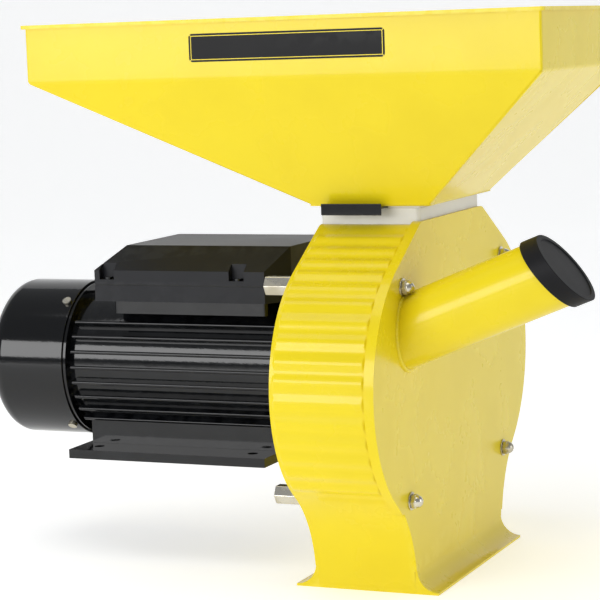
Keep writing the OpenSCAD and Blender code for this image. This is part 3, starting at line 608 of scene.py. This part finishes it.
# ---------------------------------------------------------------------------
# Neck and guides: a light grey painted sheet box that carries the hopper, with
# two flat strips on top of it between which the shutter slides.
grey_paint = coating(
    "grey_satin_paint", (0.64, 0.63, 0.575), (0.60, 0.59, 0.54), (0.70, 0.69, 0.65),
    0.36, 0.1, 500.0, 0.03, dust=0.05, spread=0.05,
)
NECK_LOW, NECK_HIGH = (-44.8, -73.3, 299.4), (42.8, 73.3, 313.0)
NECK_CORNER, NECK_EDGE, NECK_SHEET = 4.0, 0.8, 2.0
NOTCH_X, NOTCH_Z = 36.4, 302.0

neck = block("neck_box", NECK_LOW, NECK_HIGH)
rounded(neck, lambda mid, way: abs(way.z) > 0.9, NECK_CORNER, 5)
rounded(neck, lambda mid, way: mid.z > NECK_HIGH[2] - 0.1, NECK_EDGE, 2)
opened(neck, lambda mid, out: out.z < -0.9)
worked(neck, "SOLIDIFY", thickness=NECK_SHEET * MM, offset=-1, use_even_offset=True)
rim_notch = block(
    "rim_notch",
    (NOTCH_X, NECK_LOW[1] - CUT_OVER, NECK_LOW[2] - CUT_OVER),
    (NECK_HIGH[0] + CUT_OVER, NECK_HIGH[1] + CUT_OVER, NOTCH_Z),
)
cut_away(neck, rim_notch)
cut_away(neck, feed_windows("neck_windows", NECK_HIGH[2], NECK_HIGH[2]))
smoothed(neck)
finished(neck, grey_paint, "root", "neck_paint", "neck")


def merged_copy(node, name):
    """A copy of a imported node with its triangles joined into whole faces, ready to be worked."""
    piece = bpy.data.objects.new(name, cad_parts[node].data.copy())
    bpy.context.scene.collection.objects.link(piece)
    on_its_own(piece)
    bpy.ops.mesh.customdata_custom_splitnormals_clear()
    bpy.ops.object.mode_set(mode="EDIT")
    bpy.ops.mesh.select_mode(type="VERT")
    bpy.ops.mesh.select_all(action="SELECT")
    bpy.ops.mesh.remove_doubles(threshold=0.002 * MM)
    bpy.ops.mesh.dissolve_limited(angle_limit=math.radians(0.6))
    close_up()
    return piece


guides = merged_copy("shutter_guides", "guide_strips")
eased(guides, 0.3)
finished(guides, grey_paint, "root", "neck_paint", "shutter_guides")

# Shutter: a black enamelled steel plate that slides across the shaft, with its two
# ends turned up and down as finger lips.
black_paint = coating(
    "black_enamel", (0.0025, 0.0028, 0.0035), (0.0018, 0.002, 0.0026), (0.014, 0.015, 0.017),
    0.07, 0.0, 260.0, 0.035, dust=0.0, spread=0.03, gloss=0.42,
)
shutter = merged_copy("shutter_plate", "shutter_sheet")
eased(shutter, 0.5)
finished(shutter, black_paint, "shutter", "black_paint", "shutter_plate")

# ---------------------------------------------------------------------------
# Chamber band: 1.5 mm sheet wrapped round the chamber, stiffened by shallow ribs
# pressed along the shaft, and painted with the two plates it is clamped between.
AXIS_Z = 171.0
FLANK_Y, FLANK_R = 81.0, 109.0
CORNER_Y, CORNER_Z, CORNER_R = 72.0, 285.4, 14.0
FLARE_Y, FLARE_Z = 208.02, 5.0
BAND_REACH = 42.8
BAND_SHEET = 1.5
THROAT_Y = 71.3
RIB_STEP, RIB_FIRST, RIB_COUNT = 16.36, -83.7, 16
RIB_RISE = 1.5
RIB_ENDS = (-42.5, 36.1)
RIB_RUN = 2.4
SLOPE_STEPS = 32
link_y, link_z = FLANK_Y - CORNER_Y, AXIS_Z - CORNER_Z
lean = math.acos((CORNER_R - FLANK_R) / math.hypot(link_y, link_z))
shoulder = math.atan2(link_z, link_y) + lean
flare_turn = math.atan2(FLARE_Z - AXIS_Z, FLARE_Y - FLANK_Y)

bpy.ops.mesh.primitive_plane_add(
    size=1,
    location=(0, (THROAT_Y + CORNER_Y) / 2 * MM, (CORNER_Z + CORNER_R) * MM),
)
band = added("chamber_sheet", (2 * BAND_REACH * MM, (CORNER_Y - THROAT_Y) * MM, 1))
mark(band, "EDGE", lambda mid, way: mid.y > CORNER_Y - 0.01)


def swept(steps, turn, centre_y, centre_z):
    """Sweeps the chosen edge round a line along the shaft, clockwise seen from the rear."""
    bpy.ops.mesh.spin(
        steps=steps, angle=turn, center=(0, centre_y * MM, centre_z * MM), axis=(1, 0, 0)
    )


swept(10, math.pi / 2 - shoulder, CORNER_Y, CORNER_Z)
slope_out = Vector((0, math.cos(shoulder), math.sin(shoulder)))
slope_way = Vector((0, -math.sin(shoulder), math.cos(shoulder)))
slope = Vector((0, link_y, link_z)) + (FLANK_R - CORNER_R) * slope_out
for _ in range(SLOPE_STEPS):
    bpy.ops.mesh.extrude_region_move(TRANSFORM_OT_translate={"value": slope * MM / SLOPE_STEPS})
swept(132, shoulder - flare_turn, FLANK_Y, AXIS_Z)
swept(24, flare_turn, FLARE_Y, FLARE_Z)
bpy.ops.mesh.extrude_region_move(TRANSFORM_OT_translate={"value": (0, 0, -FLARE_Z * MM)})
bpy.ops.mesh.select_all(action="SELECT")
for part in (0, 0.25, 0.5, 0.75, 1):
    for cut in (RIB_ENDS[0] + part * RIB_RUN, RIB_ENDS[1] - part * RIB_RUN):
        bpy.ops.mesh.bisect(plane_co=(cut * MM, 0, 0), plane_no=(1, 0, 0))
        bpy.ops.mesh.select_all(action="SELECT")
close_up()
for point in band.data.vertices:
    from_axis = Vector((0, point.co.y / MM - FLANK_Y, point.co.z / MM - AXIS_Z))
    up_slope = from_axis.dot(slope_way)
    if up_slope > 0 and abs(from_axis.dot(slope_out) - FLANK_R) < 0.1:
        along, out = FLANK_R * shoulder + up_slope, slope_out
    elif abs(from_axis.length - FLANK_R) < 0.1:
        along, out = FLANK_R * math.atan2(from_axis.z, from_axis.y), from_axis.normalized()
    else:
        continue
    rib = (along - RIB_FIRST) / RIB_STEP
    if -0.5 < rib < RIB_COUNT - 0.5:
        run = min(point.co.x / MM - RIB_ENDS[0], RIB_ENDS[1] - point.co.x / MM) / RIB_RUN
        run = max(0.0, min(1.0, run))
        run_up = run * run * (3 - 2 * run)
        point.co += out * RIB_RISE * math.cos(math.pi * rib) ** 2 * run_up * MM
worked(band, "SOLIDIFY", thickness=BAND_SHEET * MM, offset=-1, use_even_offset=True)
worked(band, "MIRROR", use_axis=(False, True, False), use_mirror_merge=False)
mark(band, "FACE", lambda mid, out: True)
bpy.ops.mesh.normals_make_consistent(inside=False)
close_up()
smoothed(band)
finished(band, yellow_paint, "root", "yellow_paint", "chamber_band")

# Cover and rear plate: 2 mm sheet pressed to the outline of the chamber. The cover
# has a turned rim that overlaps the band, and both are rolled out into the base flange.
for node, name in (("front_cover", "cover_pressing"), ("rear_plate", "rear_pressing")):
    pressing = merged_copy(node, name)
    eased(pressing, 0.9, 3, 50)
    finished(pressing, yellow_paint, "root", "yellow_paint", node)

# ---------------------------------------------------------------------------
# Inlet tube: 58 mm steel tube cut at a slope and welded round its foot to the
# cover, its mouth cut on a slant and closed by a pushed-on black rubber cap.
COVER_X, COVER_T = 44.8, 2.0
TUBE_R, TUBE_WALL, TUBE_LENGTH = 28.9, 1.6, 139.2
TUBE_FOOT_Y, TUBE_FOOT_Z = -110.5, 217.0
TUBE_SLOPE, MOUTH_SLANT = math.radians(21.9), math.radians(18.3)
SPARE = 40.0
mouth_way = (-math.sin(MOUTH_SLANT), 0, math.cos(MOUTH_SLANT))
tube_foot = Vector((COVER_X, TUBE_FOOT_Y, TUBE_FOOT_Z))
tube_place = Matrix.Translation(tube_foot * MM) @ Matrix.Rotation(math.pi / 2 - TUBE_SLOPE, 4, "Y")


def upright(name, radius, low, high, sides=96):
    """A cylinder along Z, in mm."""
    bpy.ops.mesh.primitive_cylinder_add(
        vertices=sides,
        radius=radius * MM,
        depth=(high - low) * MM,
        location=(0, 0, (low + high) / 2 * MM),
    )
    return added(name)


def trimmed(piece, height, way, upper):
    """Cuts the piece along a plane and closes the cut."""
    mark(piece, "FACE", lambda mid, out: True)
    bpy.ops.mesh.bisect(
        plane_co=(0, 0, height * MM),
        plane_no=way,
        use_fill=True,
        clear_outer=upper,
        clear_inner=not upper,
    )
    close_up()


tube = upright("inlet_pipe", TUBE_R, -SPARE, TUBE_LENGTH + SPARE)
trimmed(tube, TUBE_LENGTH, mouth_way, True)
tube.data.transform(tube_place)
mark(tube, "FACE", lambda mid, out: True)
bpy.ops.mesh.bisect(
    plane_co=((COVER_X - COVER_T) * MM, 0, 0),
    plane_no=(1, 0, 0),
    use_fill=True,
    clear_inner=True,
)
close_up()
outward = tube_place.to_3x3() @ Vector(mouth_way)
opened(tube, lambda mid, out: out.x < -0.99 or out.dot(outward) > 0.999)
worked(tube, "SOLIDIFY", thickness=TUBE_WALL * MM, offset=-1, use_even_offset=True)
eased(tube, 0.4, 2, 50)
finished(tube, yellow_paint, "root", "yellow_paint", "inlet_tube")

# Weld bead: one run of filler round the tube's foot, pressed thin where it passes
# the washer of the nearest of the four tie rods.
ROD_R = 3.0
ROD_PLACES = [
    (side * (FLANK_Y + FLANK_R * y), AXIS_Z + FLANK_R * z)
    for side in (-1, 1)
    for y, z in ((0.391, 0.76), (0.336, -0.839))
]
WASHER_R, WASHER_T = 7.5, 1.2
BEAD_R, BEAD_OFFSET, BEAD_X = 1.9, 0.3, 0.2
RIPPLES = ((0.16, 62, 0.0), (0.12, 17, 1.3))

bpy.ops.mesh.primitive_torus_add(
    major_segments=240,
    minor_segments=10,
    major_radius=(TUBE_R + BEAD_OFFSET) * MM,
    minor_radius=BEAD_R * MM,
    location=(tube_foot + Vector((BEAD_X, 0, 0))) * MM,
    rotation=(0, math.pi / 2, 0),
)
weld = added("inlet_weld")
for point in weld.data.vertices:
    around = math.atan2(point.co.z / MM - TUBE_FOOT_Z, point.co.y / MM - TUBE_FOOT_Y)
    point.co.z = (TUBE_FOOT_Z + (point.co.z / MM - TUBE_FOOT_Z) / math.cos(TUBE_SLOPE)) * MM
    ripple = sum(rise * math.sin(count * around + start) for rise, count, start in RIPPLES)
    point.co += point.normal * ripple * MM
    from_rod = Vector((point.co.y, point.co.z)) / MM - Vector(ROD_PLACES[0])
    short = max(0.0, WASHER_R + 0.2 - from_rod.length) * MM
    point.co += Vector((0, *from_rod.normalized())) * short
smoothed(weld)
finished(weld, yellow_paint, "root", "yellow_paint")

# Cap: moulded black rubber with a shallow dished face, pushed over the tube's mouth
# and held there by its own grip.
CAP_R, CAP_START, CAP_DEPTH, CAP_WALL = 31.4, 126.6, 15.0, 2.2
CAP_BORDER, DISH_DEPTH, DISH_EDGE = 4.5, 0.9, 1.2
black_rubber = coating(
    "black_rubber", (0.010, 0.010, 0.0115), (0.014, 0.014, 0.0155), (0.03, 0.03, 0.032),
    0.45, 0.0, 1400.0, 0.02, dust=0.0, spread=0.06, gloss=0.1,
)
cap = upright("inlet_plug", CAP_R, CAP_START - SPARE, CAP_START + CAP_DEPTH + SPARE)
trimmed(cap, CAP_START + CAP_DEPTH, mouth_way, True)
trimmed(cap, CAP_START, mouth_way, False)
mark(cap, "FACE", lambda mid, out: out.dot(Vector(mouth_way)) < -0.99)
bpy.ops.mesh.inset(thickness=CAP_WALL * MM)
bpy.ops.mesh.extrude_region_move(
    TRANSFORM_OT_translate={"value": (0, 0, (CAP_DEPTH - CAP_WALL) * MM)}
)
close_up()
mark(cap, "FACE", lambda mid, out: out.dot(Vector(mouth_way)) > 0.99)
bpy.ops.mesh.inset(thickness=CAP_BORDER * MM)
bpy.ops.mesh.extrude_region_move(
    TRANSFORM_OT_translate={"value": [-DISH_DEPTH * MM * c for c in mouth_way]}
)
bpy.ops.mesh.inset(thickness=DISH_EDGE * MM)
close_up()
cap.data.transform(tube_place)
eased(cap, 1.0, 3, 35)
finished(cap, black_rubber, "cap", "black_plastic", "inlet_cap")

# ---------------------------------------------------------------------------
# Tie rods: four zinc-plated M6 rods through both plates, closed on the cover by
# acorn nuts on wide washers and at the rear by long hexagon nuts.
ACORN_FLATS, ACORN_BASE = 11.0, 4.0
LONG_FLATS, LONG_NUT, LONG_COUNTERBORE = 15.0, 28.0, 1.2
WASHER_BORE_R = ROD_R + 0.4


def rod(name, radius, start, end, y=0.0, z=0.0, sides=96):
    """A cylinder along the shaft direction, in mm."""
    bpy.ops.mesh.primitive_cylinder_add(
        vertices=sides,
        radius=radius * MM,
        depth=(end - start) * MM,
        location=((start + end) / 2 * MM, y * MM, z * MM),
        rotation=(0, math.pi / 2, 0),
    )
    return added(name)


def joined(name, parts):
    """Makes several meshes one piece."""
    on_its_own(parts[0])
    for part in parts:
        part.select_set(True)
    bpy.ops.object.join()
    parts[0].name = parts[0].data.name = name
    return parts[0]


def copies(piece, name, places):
    """One piece that holds a copy at each (y, z), and nothing of the first."""
    parts = []
    for y, z in places:
        part = bpy.data.objects.new(name, piece.data.copy())
        part.data.transform(Matrix.Translation((0, y * MM, z * MM)))
        bpy.context.scene.collection.objects.link(part)
        parts.append(part)
    bpy.data.objects.remove(piece)
    return joined(name, parts)


nut_x = COVER_X + WASHER_T
acorn_base = rod("acorn_base", ACORN_FLATS / math.sqrt(3), nut_x, nut_x + ACORN_BASE, sides=6)
eased(acorn_base, 0.5, 2)
bpy.ops.mesh.primitive_uv_sphere_add(
    segments=32,
    ring_count=20,
    radius=(ACORN_FLATS / 2 - 0.1) * MM,
    location=((nut_x + ACORN_BASE - 0.3) * MM, 0, 0),
    rotation=(0, math.pi / 2, 0),
)
acorn_dome = added("acorn_dome")
mark(acorn_dome, "FACE", lambda mid, out: True)
bpy.ops.mesh.bisect(
    plane_co=((nut_x + ACORN_BASE - 1) * MM, 0, 0),
    plane_no=(1, 0, 0),
    clear_inner=True,
    use_fill=True,
)
close_up()
smoothed(acorn_dome)
acorns = copies(joined("acorn_nut", [acorn_base, acorn_dome]), "acorn_nuts", ROD_PLACES)
finished(acorns, zinc_plate, "root", "bare_steel", "dome_nuts")

washer = rod("washer", WASHER_R, COVER_X, COVER_X + WASHER_T, sides=48)
mark(washer, "FACE", lambda mid, out: abs(out.x) > 0.9)
bpy.ops.mesh.inset(thickness=(WASHER_R - WASHER_BORE_R) * MM)
bpy.ops.mesh.delete(type="FACE")
bpy.ops.mesh.select_all(action="DESELECT")
close_up()
mark(
    washer,
    "EDGE",
    lambda mid, way: math.hypot(mid.y, mid.z) < WASHER_BORE_R + 0.2 and abs(way.x) < 0.1,
)
bpy.ops.mesh.bridge_edge_loops()
close_up()
eased(washer, 0.3)
washers = copies(washer, "washers", ROD_PLACES)
finished(washers, zinc_plate, "root", "bare_steel", "cover_washers")

long_nut = rod("long_nut", LONG_FLATS / math.sqrt(3), -COVER_X - LONG_NUT, -COVER_X, sides=6)
mark(long_nut, "FACE", lambda mid, out: out.x < -0.9)
bpy.ops.mesh.inset(thickness=(LONG_FLATS / math.sqrt(3) - ROD_R - 2.2) * MM)
bpy.ops.mesh.extrude_region_move(
    TRANSFORM_OT_translate={"value": (LONG_COUNTERBORE * MM, 0, 0)}
)
close_up()
eased(long_nut, 0.8, 2)
long_nuts = copies(long_nut, "long_nuts", ROD_PLACES)
finished(long_nuts, zinc_plate, "root", "bare_steel", "rear_nuts")
refinish(zinc_plate, "tie_rods", "shield_bolts")

# ---------------------------------------------------------------------------
# Sieve and rotor: perforated plate in curved rails, and a keyed hub between two
# discs with pins that carry the swinging hammers. Bare machined and hardened steel.
refinish(
    bright_steel,
    "sieve_screen", "motor_shaft", "hammer_pins", "pin_spacers", "pin_clips", "shaft_nut",
)
refinish(
    dark_steel,
    "sieve_rails", "shaft_key", "rotor_hub", "rotor_discs",
    "hammers_a", "hammers_b", "hammers_c", "hammers_d",
)

# ---------------------------------------------------------------------------
# Motor barrel: cast aluminium with straight cooling fins and a pad for the
# terminal box, dipped in gloss black enamel that pools between the fins.
BARREL_R, FIN_TIP, FIN_T = 60.0, 67.5, 3.2
BARREL_REAR, BARREL_FRONT = -296.8, -74.8
PAD_LOW, PAD_HIGH = (-250.0, -60.0, 219.2), (-103.0, 60.0, 231.7)
FIN_SHORT, FIN_ROOT = 4.0, 2.0
FOOT_TURN, FOOT_HALF = -60, 9
FIN_TURNS = [turn for turn in range(-96, 37, 12) if abs(turn - FOOT_TURN) > FOOT_HALF]


def turned_copies(piece, name, turns, mirror=False):
    """One piece that holds the first one turned about the shaft by each angle in degrees."""
    parts = []
    for turn in turns:
        part = bpy.data.objects.new(name, piece.data.copy())
        part.data.transform(
            Matrix.Translation((0, 0, AXIS_Z * MM))
            @ Matrix.Rotation(math.radians(turn), 4, "X")
            @ Matrix.Translation((0, 0, -AXIS_Z * MM))
        )
        bpy.context.scene.collection.objects.link(part)
        parts.append(part)
    bpy.data.objects.remove(piece)
    return joined(name, parts)


fin = block(
    "fin",
    (BARREL_REAR + FIN_SHORT, BARREL_R - FIN_ROOT, AXIS_Z - FIN_T / 2),
    (BARREL_FRONT - FIN_SHORT, FIN_TIP, AXIS_Z + FIN_T / 2),
)
rounded(fin, lambda mid, way: mid.y > FIN_TIP - 0.1, 1.3, 3)
fins = turned_copies(fin, "barrel_fins", FIN_TURNS + [180 - turn for turn in FIN_TURNS])
shell = rod("barrel_shell", BARREL_R, BARREL_REAR, BARREL_FRONT, z=AXIS_Z, sides=128)
mark(shell, "FACE", lambda mid, out: abs(out.x) > 0.9)
bpy.ops.mesh.inset(thickness=3.0 * MM)
bpy.ops.mesh.delete(type="FACE")
close_up()
pad = block("barrel_pad", PAD_LOW, PAD_HIGH)
rounded(pad, lambda mid, way: abs(way.z) > 0.9, 4.0, 4)
barrel = joined("motor_casting", [shell, fins, pad])
smoothed(barrel, 35)
finished(barrel, black_paint, "root", "black_paint", "motor_barrel")

for node, name, width in (
    ("front_shield", "front_end_shield", 1.0),
    ("rear_shield", "rear_end_shield", 0.8),
):
    shield = merged_copy(node, name)
    eased(shield, width, 2, 50)
    finished(shield, black_paint, "root", "black_paint", node)

# Feet: two lengths of steel angle welded to the barrel, drilled for the fixing
# bolts and painted with it.
feet = merged_copy("motor_feet", "foot_angles")
eased(feet, 1.0, 3, 50)
finished(feet, black_paint, "root", "black_paint", "motor_feet")

# ---------------------------------------------------------------------------
# Fan cover: a deep-drawn steel cup with a rounded end and radial air slots, held
# by four screws on the rear shield. The fan in it is moulded plastic.
CUP_REAR, CUP_FRONT, CUP_R, CUP_SHEET, DOME_R = -375.8, -299.8, 70.0, 1.4, 15.0
SLOT_FROM, SLOT_TO, SLOT_HALF, SLOT_STEP = 20, 53, 2, 20
fan_cup = rod("fan_cup", CUP_R, CUP_REAR, CUP_FRONT, z=AXIS_Z, sides=144)
rounded(fan_cup, lambda mid, way: mid.x < CUP_REAR + 0.1, DOME_R, 9)
opened(fan_cup, lambda mid, out: out.x > 0.9)
worked(fan_cup, "SOLIDIFY", thickness=CUP_SHEET * MM, offset=-1, use_even_offset=True)
slot_cutter = block(
    "air_slot",
    (CUP_REAR - CUT_OVER, SLOT_FROM, AXIS_Z - SLOT_HALF),
    (CUP_REAR + CUT_OVER, SLOT_TO, AXIS_Z + SLOT_HALF),
)
rounded(slot_cutter, lambda mid, way: abs(way.x) > 0.9, SLOT_HALF - 0.1, 4)
cut_away(fan_cup, turned_copies(slot_cutter, "air_slots", range(0, 360, SLOT_STEP)))
eased(fan_cup, 0.35, 2, 60)
finished(fan_cup, black_paint, "root", "black_paint", "fan_cover")
refinish(zinc_plate, "fan_cover_screws")

moulded_plastic = coating(
    "moulded_black", (0.011, 0.0115, 0.014), (0.014, 0.0145, 0.017), (0.03, 0.031, 0.034),
    0.38, 0.0, 1600.0, 0.03, dust=0.0, spread=0.03, gloss=0.2,
)
refinish(moulded_plastic, "cooling_fan", "start_capacitor")

# Inside the motor: laminated stator and rotor cores, lacquered copper windings, two
# ground steel bearings, and the running capacitor in its aluminium can.
refinish(dark_steel, "stator_core", "rotor_core")
refinish(bright_steel, "front_bearing", "rear_bearing", "capacitor_clips")
refinish(copper_wire, "stator_windings")
refinish(drawn_aluminium, "run_capacitor")

# ---------------------------------------------------------------------------
# Terminal box: a moulded tray, a foam gasket and a sloped lid held by four screws
# in stepped recesses, with the cable gland and the rocker switch on the far side.
# The screws are given black enamel as painted shade of their recesses.
for node, name, width, segments in (
    ("terminal_tray", "box_tray", 1.0, 2),
    ("terminal_lid", "box_lid", 1.6, 3),
    ("cable_gland", "gland_moulding", 0.4, 2),
    ("switch_body", "switch_bezel", 0.5, 2),
):
    moulding = merged_copy(node, name)
    eased(moulding, width, segments, 30)
    finished(moulding, moulded_plastic, "root", "black_plastic", node)

foam = coating(
    "gasket_foam", (0.02, 0.02, 0.02), (0.03, 0.03, 0.03), (0.04, 0.04, 0.04),
    0.8, 0.0, 2200.0, 0.08, dust=0.1,
)
refinish(foam, "box_gasket")
grey_plastic = coating(
    "grey_moulding", (0.19, 0.19, 0.20), (0.16, 0.16, 0.17), (0.3, 0.3, 0.3),
    0.45, 0.0, 1500.0, 0.03, dust=0.1,
)
refinish(grey_plastic, "terminal_block")
# Painted shade: black enamel on the lid screws stands in for the shade in their stepped recesses.
refinish(black_paint, "lid_screws")

# Rocker key: moulded red plastic, snapped into the switch body, where it tilts
# on two small pins.
red_plastic = coating(
    "red_rocker", (0.52, 0.018, 0.012), (0.46, 0.014, 0.01), (0.7, 0.1, 0.08),
    0.18, 0.3, 1500.0, 0.01, dust=0.05,
)
rocker = merged_copy("switch_rocker", "rocker_key")
eased(rocker, 0.4, 2, 30)
finished(rocker, red_plastic, "rocker", "red_plastic", "switch_rocker")
